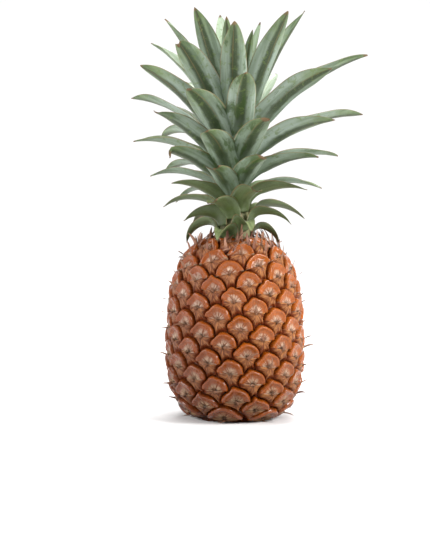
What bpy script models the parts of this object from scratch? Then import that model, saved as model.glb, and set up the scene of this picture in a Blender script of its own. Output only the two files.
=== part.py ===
"""A whole pineapple standing on the small flat spot at its base, with its crown of leaves.

The fruit is one closed body covered in a spiral of eyes. The crown is a short tapering stem
carrying 56 separate leaves in a spiral of their own. The origin is the centre of the flat spot,
+Z points up along the fruit's axis and -Y is the front.
"""

import math

import bmesh
import bpy
import numpy as np
from mathutils import Vector

# Fruit, in metres.
FRUIT_RADIUS = 0.0520
FRUIT_HEIGHT = 0.1390
# Outline of the fruit from the flat spot up: share of the height, share of the radius.
FRUIT_OUTLINE = (
    (0.000, 0.50), (0.020, 0.66), (0.060, 0.78), (0.120, 0.885), (0.200, 0.955), (0.290, 0.985),
    (0.400, 1.000), (0.520, 0.985), (0.640, 0.965), (0.720, 0.935), (0.800, 0.865), (0.860, 0.800),
    (0.910, 0.715), (0.950, 0.610), (0.980, 0.490), (0.995, 0.370), (1.000, 0.280),
)

# Spiral of eyes.
EYE_TURN = math.radians(-137.4)
EYE_START = math.radians(-72.0)
EYE_REFERENCE_HEIGHT = 0.745
EYE_AREA = 0.000318
EYE_FIRST = -108
EYE_LAST = 44
GROOVE_DEPTH = 0.0022
EYE_BULGE = 0.0012
EYE_RIM = 0.66
EYE_LIFT = 0.08
EYE_MIDDLE_BULGE = 0.00168
EYE_LEAST_RADIUS = 0.0156
EYE_EDGE_GAP = 0.0004
EYE_MIDDLE_GAP = 0.0008
CORNER_MERGE = 0.0045

# Flat caps at both ends of the fruit, kept free of eyes.
CAP_POINTS = 14
BASE_CAP_ARC = 0.0170
BASE_CLEAR_ARC = 0.0340
TOP_CAP_ARC = 0.0080
TOP_CLEAR_ARC = 0.0215

# Stalk end, set flush into the base.
STALK_RADIUS = 0.0110
STALK_DEPTH = 0.0040
STALK_SIDES = 28
# Heights up the stalk end and the share of its radius there.
STALK_LEVELS = ((0.0, 0.95), (0.0006, 0.985), (STALK_DEPTH, 0.96))
FIT_GAP = 0.0003

# Crown stem.
STEM_BOTTOM_RADIUS = 0.0120
STEM_TOP_RADIUS = 0.0035
STEM_HEIGHT = 0.0960
STEM_TAPER = 1.1
STEM_SIDES = 20
STEM_RINGS = 5

# Crown leaves.
LEAF_COUNT = 56
LEAF_RISE = 0.00185
LEAF_RISE_FADE = 0.0000053
LEAF_FIRST_HEIGHT = 0.0008
LEAF_STEM_GAP = 0.0006
LEAF_STATIONS = 8
LEAF_THICKNESS = 0.0019
LEAF_TIP_THICKNESS = 0.0006
LEAF_BASE_SHARE = 0.42
LEAF_WIDEST = 0.42
LEAF_CHANNEL = 0.0130
LEAF_BEND = 1.25
LEAF_TAPER = 3.0
LEAF_TIP_ROUND = 0.85
LEAF_LEAST_SLOPE = 0.35
LEAF_LEAST_CHANNEL = 0.0040
LEAF_MOST_BEND = 1.3
LEAF_STEPS = 40
LEAF_STATION_POWER = 1.25
# Points round a leaf's section: share of the half width, share of the thickness.
LEAF_SECTION = (
    (-1.0, 0.0), (-0.52, -0.42), (0.0, -0.5), (0.52, -0.42), (1.0, 0.0), (0.0, 0.5),
)
SHEATH_LENGTH = 0.0130
SHEATH_ANGLE = 80.0
SHEATH_POWER = 1.5
# How the crown grows upwards: number of the leaf from the lowest up, then its length and half
# width in millimetres and its angle above level past its sheath and at its tip, in degrees.
CROWN_GROWTH = (
    (0, 30, 8.0, 20, -75), (4, 36, 8.5, 28, -52), (10, 48, 9.5, 36, -20), (20, 62, 10.0, 42, 0),
    (30, 86, 11.0, 50, 10), (40, 112, 10.5, 62, 25), (47, 112, 9.0, 74, 56), (55, 70, 4.0, 82, 76),
)
# The leaves stand in eight upright rows. In the order in which they grow, each row's direction
# from the front, anticlockwise seen from above, its share of the length and of the width, and
# what it adds to both angles, in degrees.
LEAF_ROWS = (
    (-22, 0.92, 1.05, 7, 13),
    (108, 1.12, 0.85, -18, -16),
    (-110, 1.12, 0.90, -7, -14),
    (20, 0.94, 0.95, 2, 10),
    (172, 1.15, 0.85, 0, -5),
    (-65, 0.92, 1.05, 2, 10),
    (72, 0.97, 0.85, -6, -6),
    (-140, 1.22, 0.75, -17, -30),
)
# What sets the rows apart fades out towards the upright leaves at the heart of the crown.
ROW_FADE = 4.0
# Above this leaf the rows lean round the crown, by an angle for each leaf.
ROW_LEAN_FROM = 28
ROW_LEAN = math.radians(-1.6)


def clear_scene():
    for thing in list(bpy.data.objects):
        bpy.data.objects.remove(thing, do_unlink=True)


def plain_material(name, color, roughness):
    material = bpy.data.materials.new(name)
    material.use_nodes = True
    shader = material.node_tree.nodes["Principled BSDF"]
    shader.inputs["Base Color"].default_value = (*color, 1.0)
    shader.inputs["Roughness"].default_value = roughness
    shader.inputs["Metallic"].default_value = 0.0
    return material


def add_object(name, points, faces, material, location=(0.0, 0.0, 0.0)):
    mesh = bpy.data.meshes.new(name)
    mesh.from_pydata([tuple(p) for p in points], [], faces)
    mesh.materials.append(material)
    shape = bmesh.new()
    shape.from_mesh(mesh)
    bmesh.ops.recalc_face_normals(shape, faces=shape.faces)
    shape.to_mesh(mesh)
    shape.free()
    thing = bpy.data.objects.new(name, mesh)
    thing.location = location
    bpy.context.scene.collection.objects.link(thing)
    return thing


class Outline:
    """The fruit's outline as radius and height along its length, from the base centre up."""

    def __init__(self):
        shares = np.array(FRUIT_OUTLINE)
        knots = np.arange(len(shares))
        fine = np.linspace(0, len(shares) - 1, 400)
        height = smooth(knots, shares[:, 0], fine) * FRUIT_HEIGHT
        radius = smooth(knots, shares[:, 1], fine) * FRUIT_RADIUS
        height = np.concatenate([[0.0], height, [FRUIT_HEIGHT]])
        radius = np.concatenate([[0.0], radius, [0.0]])
        self.radii = radius
        self.heights = height
        steps = np.hypot(np.diff(radius), np.diff(height))
        self.arcs = np.concatenate([[0.0], np.cumsum(steps)])
        self.length = self.arcs[-1]

    def at(self, arc):
        radius = float(np.interp(arc, self.arcs, self.radii))
        height = float(np.interp(arc, self.arcs, self.heights))
        return radius, height

    def slope(self, arc, step=0.002):
        low = self.at(max(arc - step, 0.0))
        high = self.at(min(arc + step, self.length))
        along = np.array([high[0] - low[0], high[1] - low[1]])
        return along / np.linalg.norm(along)

    def point(self, arc, turn, out=0.0):
        radius, height = self.at(arc)
        along = self.slope(arc)
        radius += along[1] * out
        height -= along[0] * out
        return Vector((math.sin(turn) * radius, -math.cos(turn) * radius, height))


def smooth(knots, values, fine):
    """A smooth curve through the values: cubic pieces with averaged slopes."""
    slopes = np.gradient(values)
    index = np.clip(fine.astype(int), 0, len(knots) - 2)
    part = fine - index
    square = part * part
    cube = square * part
    start = (2 * cube - 3 * square + 1) * values[index]
    start_slope = (cube - 2 * square + part) * slopes[index]
    end = (3 * square - 2 * cube) * values[index + 1]
    end_slope = (cube - square) * slopes[index + 1]
    return start + start_slope + end + end_slope


def eye_places(outline):
    """Arc position and turn of every eye, each taking the same area of the surface."""
    start = float(np.interp(EYE_REFERENCE_HEIGHT * FRUIT_HEIGHT, outline.heights, outline.arcs))
    places = {0: start}
    for direction, last in ((1, EYE_LAST), (-1, -EYE_FIRST)):
        arc = start
        for index in range(1, last + 1):
            radius = max(outline.at(arc)[0], EYE_LEAST_RADIUS)
            arc += direction * EYE_AREA / (2 * math.pi * radius)
            places[direction * index] = arc
    low = BASE_CLEAR_ARC
    high = outline.length - TOP_CLEAR_ARC
    chosen = []
    for index in sorted(places):
        if low < places[index] < high:
            chosen.append((places[index], EYE_START + EYE_TURN * index))
    return chosen


def cap_places(arc):
    places = []
    for step in range(CAP_POINTS):
        places.append((arc, 2 * math.pi * step / CAP_POINTS))
    return places


def on_ball(outline, arc, turn):
    tilt = math.pi * arc / outline.length
    return Vector((
        math.sin(turn) * math.sin(tilt), -math.cos(turn) * math.sin(tilt), -math.cos(tilt)))


def off_ball(outline, direction):
    tilt = math.acos(max(-1.0, min(1.0, -direction.z)))
    turn = math.atan2(direction.x, -direction.y)
    return tilt * outline.length / math.pi, turn


def cell_corners(outline, places):
    """Corners shared by neighbouring cells, and each cell's corner numbers in order round it."""
    shape = bmesh.new()
    for arc, turn in places:
        shape.verts.new(on_ball(outline, arc, turn))
    shape.verts.ensure_lookup_table()
    for index, vertex in enumerate(shape.verts):
        vertex.index = index
    layer = shape.verts.layers.int.new("place")
    for index, vertex in enumerate(shape.verts):
        vertex[layer] = index
    hull = bmesh.ops.convex_hull(shape, input=shape.verts)
    triangles = []
    for piece in hull["geom"]:
        if isinstance(piece, bmesh.types.BMFace):
            triangles.append([v[layer] for v in piece.verts])
    balls = [on_ball(outline, arc, turn) for arc, turn in places]
    shape.free()
    centres = []
    for a, b, c in triangles:
        normal = (balls[b] - balls[a]).cross(balls[c] - balls[a]).normalized()
        if normal.dot(balls[a]) < 0:
            normal = -normal
        centres.append(normal)
    merged = merge_corners(outline, centres)
    around = {index: [] for index in range(len(places))}
    for number, triangle in enumerate(triangles):
        for index in triangle:
            around[index].append(number)
    cells = {}
    for index, numbers in around.items():
        pole = balls[index]
        side = pole.orthogonal().normalized()
        other = pole.cross(side)
        numbers.sort(key=lambda n: math.atan2(centres[n].dot(other), centres[n].dot(side)))
        loop = []
        for number in numbers:
            if not loop or merged[number] != loop[-1]:
                loop.append(merged[number])
        while len(loop) > 1 and loop[0] == loop[-1]:
            loop.pop()
        cells[index] = loop
    used = sorted(set(merged))
    corners = {}
    for group in used:
        total = Vector((0.0, 0.0, 0.0))
        for number, owner in enumerate(merged):
            if owner == group:
                total += centres[number]
        corners[group] = off_ball(outline, total.normalized())
    return corners, cells


def merge_corners(outline, centres):
    """Gives corners nearer than CORNER_MERGE the same number, so that no sliver is left."""
    spots = [outline.point(*off_ball(outline, c)) for c in centres]
    owner = list(range(len(centres)))
    for first in range(len(centres)):
        if owner[first] != first:
            continue
        for second in range(first + 1, len(centres)):
            close = (spots[first] - spots[second]).length < CORNER_MERGE
            if close and owner[second] == second:
                owner[second] = first
    return owner


def blend_turn(turn, other, share):
    gap = (other - turn + math.pi) % (2 * math.pi) - math.pi
    return turn + gap * share


def build_fruit(material):
    outline = Outline()
    eyes = eye_places(outline)
    base_ring = cap_places(BASE_CAP_ARC) + [(0.0, 0.0)]
    top_ring = cap_places(outline.length - TOP_CAP_ARC) + [(outline.length, 0.0)]
    places = eyes + base_ring + top_ring
    corners, cells = cell_corners(outline, places)
    base_cells = range(len(eyes), len(eyes) + len(base_ring))
    top_cells = range(len(eyes) + len(base_ring), len(places))
    base_groups = set()
    top_groups = set()
    eye_groups = set()
    for index in range(len(eyes)):
        eye_groups.update(cells[index])
    for index in base_cells:
        base_groups.update(cells[index])
    for index in top_cells:
        top_groups.update(cells[index])

    points = []
    number = {}
    for group in sorted(eye_groups):
        arc, turn = corners[group]
        if group in base_groups:
            spot = outline.point(arc, turn)
            spot.z = 0.0
        elif group in top_groups:
            spot = outline.point(arc, turn)
            spot.z = FRUIT_HEIGHT
        else:
            spot = outline.point(arc, turn, -GROOVE_DEPTH)
        number[group] = len(points)
        points.append(spot)

    faces = []
    for index in range(len(eyes)):
        arc, turn = eyes[index]
        loop = cells[index]
        rim = []
        for group in loop:
            corner_arc, corner_turn = corners[group]
            reach = corner_arc - arc
            rim_arc = arc + reach * EYE_RIM + abs(reach) * EYE_LIFT
            rim_turn = blend_turn(turn, corner_turn, EYE_RIM)
            spot = outline.point(rim_arc, rim_turn, EYE_BULGE)
            spot.z = min(max(spot.z, EYE_EDGE_GAP), FRUIT_HEIGHT - EYE_EDGE_GAP)
            rim.append(len(points))
            points.append(spot)
        middle = outline.point(arc, turn, EYE_MIDDLE_BULGE)
        middle.z = min(max(middle.z, EYE_MIDDLE_GAP), FRUIT_HEIGHT - EYE_MIDDLE_GAP)
        centre = len(points)
        points.append(middle)
        for step in range(len(loop)):
            after = (step + 1) % len(loop)
            outer_a = number[loop[step]]
            outer_b = number[loop[after]]
            faces.append((outer_a, outer_b, rim[after]))
            faces.append((outer_a, rim[after], rim[step]))
            faces.append((rim[step], rim[after], centre))

    base_loop = sorted(base_groups & eye_groups, key=lambda g: corners[g][1])
    recess_low = []
    recess_high = []
    for group in base_loop:
        turn = corners[group][1]
        across = STALK_RADIUS + FIT_GAP
        recess_low.append(len(points))
        points.append(Vector((math.sin(turn) * across, -math.cos(turn) * across, 0.0)))
    for group in base_loop:
        turn = corners[group][1]
        across = STALK_RADIUS + FIT_GAP
        height = STALK_DEPTH + FIT_GAP
        recess_high.append(len(points))
        points.append(Vector((math.sin(turn) * across, -math.cos(turn) * across, height)))
    count = len(base_loop)
    for step in range(count):
        after = (step + 1) % count
        outer_a = number[base_loop[step]]
        outer_b = number[base_loop[after]]
        faces.append((outer_b, outer_a, recess_low[step], recess_low[after]))
        faces.append((recess_low[after], recess_low[step], recess_high[step], recess_high[after]))
    faces.append(tuple(recess_high))
    top_loop = sorted(top_groups & eye_groups, key=lambda g: corners[g][1])
    faces.append(tuple(number[g] for g in top_loop))
    return add_object("fruit_body", points, faces, material)


def build_stalk(material):
    """The cut end of the stalk: a disc flush with the base, slightly narrower inside."""
    points = []
    for height, share in STALK_LEVELS:
        for side in range(STALK_SIDES):
            turn = 2 * math.pi * side / STALK_SIDES
            across = STALK_RADIUS * share
            points.append((math.sin(turn) * across, -math.cos(turn) * across, height))
    faces = [tuple(range(STALK_SIDES))]
    for level in range(len(STALK_LEVELS) - 1):
        for side in range(STALK_SIDES):
            after = (side + 1) % STALK_SIDES
            low = level * STALK_SIDES
            high = low + STALK_SIDES
            faces.append((low + side, low + after, high + after, high + side))
    last = (len(STALK_LEVELS) - 1) * STALK_SIDES
    faces.append(tuple(range(last, last + STALK_SIDES)))
    return add_object("cut_stalk", points, faces, material)


def stem_radius(height):
    share = min(max(height / STEM_HEIGHT, 0.0), 1.0)
    return STEM_BOTTOM_RADIUS + (STEM_TOP_RADIUS - STEM_BOTTOM_RADIUS) * share ** STEM_TAPER


def build_stem(material):
    points = []
    for ring in range(STEM_RINGS):
        height = STEM_HEIGHT * ring / (STEM_RINGS - 1)
        for side in range(STEM_SIDES):
            turn = 2 * math.pi * side / STEM_SIDES
            across = stem_radius(height)
            points.append((math.sin(turn) * across, -math.cos(turn) * across, height))
    faces = [tuple(range(STEM_SIDES))]
    for ring in range(STEM_RINGS - 1):
        for side in range(STEM_SIDES):
            after = (side + 1) % STEM_SIDES
            low = ring * STEM_SIDES
            high = low + STEM_SIDES
            faces.append((low + side, low + after, high + after, high + side))
    tip = len(points)
    points.append((0.0, 0.0, STEM_HEIGHT + STEM_TOP_RADIUS))
    last = (STEM_RINGS - 1) * STEM_SIDES
    for side in range(STEM_SIDES):
        faces.append((last + side, last + (side + 1) % STEM_SIDES, tip))
    location = (0.0, 0.0, FRUIT_HEIGHT + FIT_GAP)
    return add_object("crown_stem", points, faces, material, location)


def leaf_width(share, base, widest):
    """Half width at a share of the leaf's length: a clasping base, then a taper to the tip."""
    if share < LEAF_WIDEST:
        part = share / LEAF_WIDEST
        return base + (widest - base) * math.sin(part * math.pi / 2)
    part = (share - LEAF_WIDEST) / (1.0 - LEAF_WIDEST)
    return widest * (1.0 - part ** LEAF_TAPER) ** LEAF_TIP_ROUND


def leaf_angle(share, length, start, end):
    """Angle above level along a leaf: up along the stem in its sheath, then out and over."""
    sheath = max(0.0, 1.0 - share * length / SHEATH_LENGTH)
    angle = start + (end - start) * share ** LEAF_BEND
    return math.radians(angle + (SHEATH_ANGLE - start) * sheath ** SHEATH_POWER)


def leaf_values(index):
    """Length, half width, both angles and the direction of a leaf, from its number and row."""
    levels = [level[0] for level in CROWN_GROWTH]
    columns = zip(*[level[1:] for level in CROWN_GROWTH], strict=True)
    length, half, start, end = [float(np.interp(index, levels, column)) for column in columns]
    direction, length_share, width_share, start_lift, end_lift = LEAF_ROWS[index % len(LEAF_ROWS)]
    kept = 1.0 - (index / (LEAF_COUNT - 1)) ** ROW_FADE
    length *= 1.0 + (length_share - 1.0) * kept
    half *= 1.0 + (width_share - 1.0) * kept
    start += start_lift * kept
    end += end_lift * kept
    turn = math.radians(direction) + ROW_LEAN * max(index - ROW_LEAN_FROM, 0)
    return length / 1000, half / 1000, start, end, turn


def build_leaf(index, material):
    length, half, start, end, turn = leaf_values(index)
    above = LEAF_FIRST_HEIGHT + LEAF_RISE * index - LEAF_RISE_FADE * index * index
    outward = Vector((math.sin(turn), -math.cos(turn), 0.0))
    across = Vector((math.cos(turn), math.sin(turn), 0.0))
    upward = Vector((0.0, 0.0, 1.0))
    reach = stem_radius(above) + LEAF_STEM_GAP + LEAF_THICKNESS * 0.5
    base = min(reach * LEAF_BASE_SHARE, half)
    height = FRUIT_HEIGHT + above
    points = []
    walk = 0
    for station in range(LEAF_STATIONS):
        share = (station / LEAF_STATIONS) ** LEAF_STATION_POWER
        while walk < share * LEAF_STEPS:
            middle = (walk + 0.5) / LEAF_STEPS
            angle = leaf_angle(middle, length, start, end)
            reach += math.cos(angle) * length / LEAF_STEPS
            height += math.sin(angle) * length / LEAF_STEPS
            walk += 1
        angle = leaf_angle(share, length, start, end)
        inward = upward * math.cos(angle) - outward * math.sin(angle)
        spine = outward * reach + upward * height
        wide = leaf_width(share, base, half)
        channel = max(reach / max(math.sin(angle), LEAF_LEAST_SLOPE), LEAF_LEAST_CHANNEL)
        channel = min(LEAF_CHANNEL, channel)
        thick = LEAF_THICKNESS + (LEAF_TIP_THICKNESS - LEAF_THICKNESS) * share
        for side, depth in LEAF_SECTION:
            bend = side * min(wide / channel, LEAF_MOST_BEND)
            lift = channel * (1.0 - math.cos(bend))
            spot = spine + across * channel * math.sin(bend) + inward * (lift + thick * depth)
            points.append(spot)
    while walk < LEAF_STEPS:
        middle = (walk + 0.5) / LEAF_STEPS
        angle = leaf_angle(middle, length, start, end)
        reach += math.cos(angle) * length / LEAF_STEPS
        height += math.sin(angle) * length / LEAF_STEPS
        walk += 1
    tip = len(points)
    points.append(outward * reach + upward * height)
    loop = len(LEAF_SECTION)
    faces = [tuple(range(loop))]
    for station in range(LEAF_STATIONS - 1):
        low = station * loop
        high = low + loop
        for side in range(loop):
            after = (side + 1) % loop
            faces.append((low + side, low + after, high + after, high + side))
    last = (LEAF_STATIONS - 1) * loop
    for side in range(loop):
        faces.append((last + side, last + (side + 1) % loop, tip))
    return add_object(f"leaf_{index + 1:02d}", points, faces, material)


def main():
    clear_scene()
    build_fruit(plain_material("fruit_body", (0.52, 0.24, 0.09), 0.55))
    build_stalk(plain_material("cut_stalk", (0.55, 0.42, 0.24), 0.80))
    build_stem(plain_material("crown_stem", (0.34, 0.38, 0.18), 0.70))
    for index in range(LEAF_COUNT):
        share = index / (LEAF_COUNT - 1)
        color = (0.20 - 0.06 * share, 0.28, 0.12 + 0.06 * share)
        build_leaf(index, plain_material(f"leaf_{index + 1:02d}", color, 0.50))


main()
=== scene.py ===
import math
import random

import bmesh
import bpy
import numpy as np
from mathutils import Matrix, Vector


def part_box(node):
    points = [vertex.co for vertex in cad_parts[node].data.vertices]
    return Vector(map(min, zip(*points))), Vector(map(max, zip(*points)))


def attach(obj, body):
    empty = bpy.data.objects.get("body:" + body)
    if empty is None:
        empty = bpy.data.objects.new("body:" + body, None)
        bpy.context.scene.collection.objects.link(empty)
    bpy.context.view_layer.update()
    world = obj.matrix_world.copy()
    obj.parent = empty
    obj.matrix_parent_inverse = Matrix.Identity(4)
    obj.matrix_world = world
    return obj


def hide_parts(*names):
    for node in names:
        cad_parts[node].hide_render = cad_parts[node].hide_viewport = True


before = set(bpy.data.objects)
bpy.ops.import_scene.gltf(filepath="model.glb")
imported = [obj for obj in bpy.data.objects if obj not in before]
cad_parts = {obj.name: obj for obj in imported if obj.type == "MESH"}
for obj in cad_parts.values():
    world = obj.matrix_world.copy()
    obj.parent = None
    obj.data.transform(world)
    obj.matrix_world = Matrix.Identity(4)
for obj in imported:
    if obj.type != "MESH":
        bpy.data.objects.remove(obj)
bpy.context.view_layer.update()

print("frame loaded")

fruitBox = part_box("fruit_body")
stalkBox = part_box("cut_stalk")
millimetre = 0.001
floorClearance = 0.0002


def smoothStep(low, high, value):
    part = np.clip((value - low) / (high - low), 0.0, 1.0)
    return part * part * (3.0 - 2.0 * part)


def curveThrough(values, places):
    # a smooth line through evenly spaced values, read at fractional places
    values = np.asarray(values, float)
    slopes = np.gradient(values, axis=0)
    places = np.clip(np.asarray(places, float), 0.0, len(values) - 1.0)
    index = np.clip(places.astype(int), 0, len(values) - 2)
    part = places - index
    if values.ndim > 1:
        part = part[:, None]
    square = part * part
    cube = square * part
    return ((2 * cube - 3 * square + 1) * values[index] + (cube - 2 * square + part) * slopes[index]
            + (3 * square - 2 * cube) * values[index + 1] + (cube - square) * slopes[index + 1])


def walkAlong(points):
    # the distance walked to each point of a line
    return np.concatenate([[0.0], np.cumsum(np.hypot(*np.diff(points, axis=0).T))])


def makeObject(name, points, faces, material, smooth=True):
    mesh = bpy.data.meshes.new(name)
    mesh.from_pydata([tuple(p) for p in points], [], faces)
    mesh.materials.append(material)
    mesh.polygons.foreach_set("use_smooth", [smooth] * len(mesh.polygons))
    made = bpy.data.objects.new(name, mesh)
    bpy.context.scene.collection.objects.link(made)
    return made


def faceOutward(made):
    shape = bmesh.new()
    shape.from_mesh(made.data)
    bmesh.ops.recalc_face_normals(shape, faces=shape.faces)
    shape.to_mesh(made.data)
    shape.free()


def storeOn(made, where, name, values):
    layer = made.data.attributes.new(name, "FLOAT_VECTOR", where)
    layer.data.foreach_set("vector", np.asarray(values, np.float32).ravel())


def addNode(tree, kind, inputs=None, **settings):
    made = tree.nodes.new(kind)
    for key, value in settings.items():
        setattr(made, key, value)
    for key, value in (inputs or {}).items():
        socket = made.inputs[key]
        if isinstance(value, bpy.types.NodeSocket):
            tree.links.new(value, socket)
        else:
            socket.default_value = value
    return made


def calc(tree, operation, first, second=0.0):
    return addNode(tree, "ShaderNodeMath", {0: first, 1: second}, operation=operation).outputs[0]


def times(tree, first, second):
    return calc(tree, "MULTIPLY", first, second)


def plus(tree, first, second):
    return calc(tree, "ADD", first, second)


def spread(tree, value, low, high, toLow=0.0, toHigh=1.0, shape="SMOOTHSTEP"):
    made = addNode(tree, "ShaderNodeMapRange", {
        "Value": value, "From Min": low, "From Max": high, "To Min": toLow, "To Max": toHigh},
        interpolation_type=shape)
    return made.outputs["Result"]


def mixColor(tree, share, first, second, how="MIX"):
    first, second = (color if isinstance(color, bpy.types.NodeSocket) else (*color, 1.0)
                     for color in (first, second))
    made = addNode(tree, "ShaderNodeMix", {0: share, 6: first, 7: second}, data_type="RGBA",
                   blend_type=how)
    return made.outputs[2]


def cover(tree, base, mask, strength, color):
    # lay a colour over another where a mask shows it
    return mixColor(tree, times(tree, mask, strength), base, color)


def mixValue(tree, share, first, second):
    made = addNode(tree, "ShaderNodeMix", {0: share, 2: first, 3: second}, data_type="FLOAT")
    return made.outputs[0]


def splitVector(tree, source):
    made = addNode(tree, "ShaderNodeSeparateXYZ", {0: source})
    return made.outputs[0], made.outputs[1], made.outputs[2]


def joinVector(tree, x, y, z):
    return addNode(tree, "ShaderNodeCombineXYZ", {0: x, 1: y, 2: z}).outputs[0]


def readMap(tree, name):
    return addNode(tree, "ShaderNodeAttribute", attribute_name=name).outputs["Vector"]


def noise(tree, place, scale, detail=3.0, rough=0.5, warp=0.0):
    made = addNode(tree, "ShaderNodeTexNoise", {
        "Vector": place, "Scale": scale, "Detail": detail, "Roughness": rough, "Distortion": warp})
    return made.outputs[0]


def newGroup(name, takes, gives):
    # an input without a value takes a vector, any other takes a number
    group = bpy.data.node_groups.new(name, "ShaderNodeTree")
    for label, value in takes:
        kind = "NodeSocketVector" if value is None else "NodeSocketFloat"
        socket = group.interface.new_socket(label, in_out="INPUT", socket_type=kind)
        if value is not None:
            socket.default_value = value
    for label in gives:
        group.interface.new_socket(label, in_out="OUTPUT", socket_type="NodeSocketFloat")
    start = group.nodes.new("NodeGroupInput")
    end = group.nodes.new("NodeGroupOutput")
    return group, start, end


def useGroup(tree, group, inputs):
    return addNode(tree, "ShaderNodeGroup", inputs, node_tree=group)


def newMaterial(name):
    material = bpy.data.materials.new(name)
    material.use_nodes = True
    tree = material.node_tree
    shader = tree.nodes["Principled BSDF"]
    return material, tree, shader


def finishShader(tree, shader, color, rough, height, strength, distance):
    bump = addNode(tree, "ShaderNodeBump", {
        "Height": height, "Strength": strength, "Distance": distance})
    for source, name in ((color, "Base Color"), (rough, "Roughness"), (bump.outputs[0], "Normal")):
        tree.links.new(source, shader.inputs[name])


def buildFibreGroup():
    # long thin fibres that run along a leaf, a bract or a stalk
    group, start, end = newGroup("fibreStreaks", (
        ("Map", None), ("Fineness", 30.0), ("Stretch", 1.5), ("Seed", 0.0)), ("Fine", "Broad"))
    x, y, z = splitVector(group, start.outputs["Map"])
    along = times(group, x, start.outputs["Stretch"])
    across = times(group, y, start.outputs["Fineness"])
    depth = plus(group, z, start.outputs["Seed"])
    place = joinVector(group, along, across, depth)
    fine = noise(group, place, 1.0, 4.0, 0.6)
    wide = joinVector(group, times(group, along, 0.6),
                      times(group, across, 0.25), depth)
    broad = noise(group, wide, 1.0, 2.0, 0.5)
    group.links.new(spread(group, fine, 0.25, 0.75), end.inputs["Fine"])
    group.links.new(spread(group, broad, 0.3, 0.7), end.inputs["Broad"])
    return group


def buildBlotchGroup():
    # soft patches with broken edges, such as rubbed bloom, stains and scuffs
    group, start, end = newGroup("blotches", (
        ("Place", None), ("Scale", 20.0), ("Level", 0.5), ("Softness", 0.1)), ("Mask", "Grain"))
    place, scale, level, softness = (start.outputs[n] for n in range(4))
    base = noise(group, place, scale, 5.0, 0.6, 0.4)
    mask = spread(group, base, calc(group, "SUBTRACT", level, softness),
                  plus(group, level, softness))
    grain = noise(group, place, times(group, scale, 14.0), 2.0, 0.6)
    group.links.new(mask, end.inputs["Mask"])
    group.links.new(grain, end.inputs["Grain"])
    return group


fibreStreaks = buildFibreGroup()
blotches = buildBlotchGroup()


leafSettings = {
    "stations": 44,             # points along each leaf
    "ribs": 17,                 # points across each leaf
    "reach": 1.08,              # width against the solid leaf
    "baseShare": 0.92,          # half width where the leaf clasps the stem, share of its widest
    "widestAt": 0.32,
    "broadPower": 3.6,          # how long the leaf keeps its width towards the tip
    "slimPower": 2.6,
    "slimBelow": 0.0088,        # half width
    "lowPower": 1.25,
    "lowWidth": 0.95,
    "broadFrom": 25,            # leaves from this number up are a little wider
    "broadWidth": 1.12,
    "roll": 0.40,               # radians, greatest where the leaf points this far round
    "rollTurn": 1.15,
    "tipRound": 0.82,
    "gutterBend": 1.25,         # how far the margins roll up, radians
    "gutterFade": 0.45,
    "baseThickness": 0.0016,
    "tipThickness": 0.0004,
    "keelDepth": 0.0006,
    "sway": 0.0045,             # sideways wander of the tips
    "twist": 0.35,
    "ripple": 0.0006,
    "dryShare": 0.012,
    "lowerSkins": 15,           # leaves counted from the lowest: first the lower skin,
    "middleSkins": 28,          # then the middle skin up to this one
    "narrowLeaves": 16,
    "lowerSlot": 20,
    "seed": 11,
}

# leaves whose ends differ from a plain dry point: the look, then how much of the leaf it takes
leafEnds = {
    "leaf_09": ("torn", 0.14),
    "leaf_12": ("torn", 0.12),
    "leaf_17": ("torn", 0.12),
    "leaf_20": ("blunt", 0.05),
    "leaf_28": ("curl", 0.035),
    "leaf_33": ("curl", 0.02),
    "leaf_41": ("hook", 0.03),
    "leaf_30": ("curl", 0.03),
    "leaf_22": ("hook", 0.06),
    "leaf_51": ("hook", 0.03),
}


def leafTurnedFace(turn):
    # leaves that point half sideways are rolled to show more of their outer face
    aside = abs(abs(turn) - leafSettings["rollTurn"])
    roll = leafSettings["roll"] * max(0.0, math.cos(aside)) ** 3
    return -math.copysign(roll, turn)


def leafSpine(name):
    # the middle line, direction and half width of the solid leaf in the frame; the direction is
    # the one that balances the points to its left and right
    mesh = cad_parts[name].data
    raw = np.array([v.co[:] for v in mesh.vertices])
    spots = np.unique(np.round(raw, 6), axis=0)
    far = spots[np.argmax(np.hypot(spots[:, 0], spots[:, 1]) + 0.6 * spots[:, 2])]
    guess = math.atan2(far[0], -far[1])
    best = None
    for trial in np.linspace(guess - 0.3, guess + 0.3, 241):
        side = spots[:, 0] * math.cos(trial) + spots[:, 1] * math.sin(trial)
        score = abs(np.sum(side))
        if best is None or score < best[0]:
            best = (score, trial)
    turn = best[1]
    side = spots[:, 0] * math.cos(turn) + spots[:, 1] * math.sin(turn)
    out = spots[:, 0] * math.sin(turn) - spots[:, 1] * math.cos(turn)
    middle = np.abs(side) < 0.00012
    plane = np.stack([out[middle], spots[middle, 2]], axis=1)
    start = np.argmin(plane[:, 0] * 0.8 + plane[:, 1])
    chain = [plane[start]]
    left = [p for k, p in enumerate(plane) if k != start]
    while left:
        gaps = [np.linalg.norm(p - chain[-1]) for p in left]
        nearest = int(np.argmin(gaps))
        chain.append(left.pop(nearest))
    chain = np.array(chain)
    middles = [0.5 * (chain[k] + chain[k + 1]) for k in range(0, len(chain) - 1, 2)]
    middles.append(chain[-1])
    return np.array(middles), turn, float(np.abs(side).max())


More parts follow.
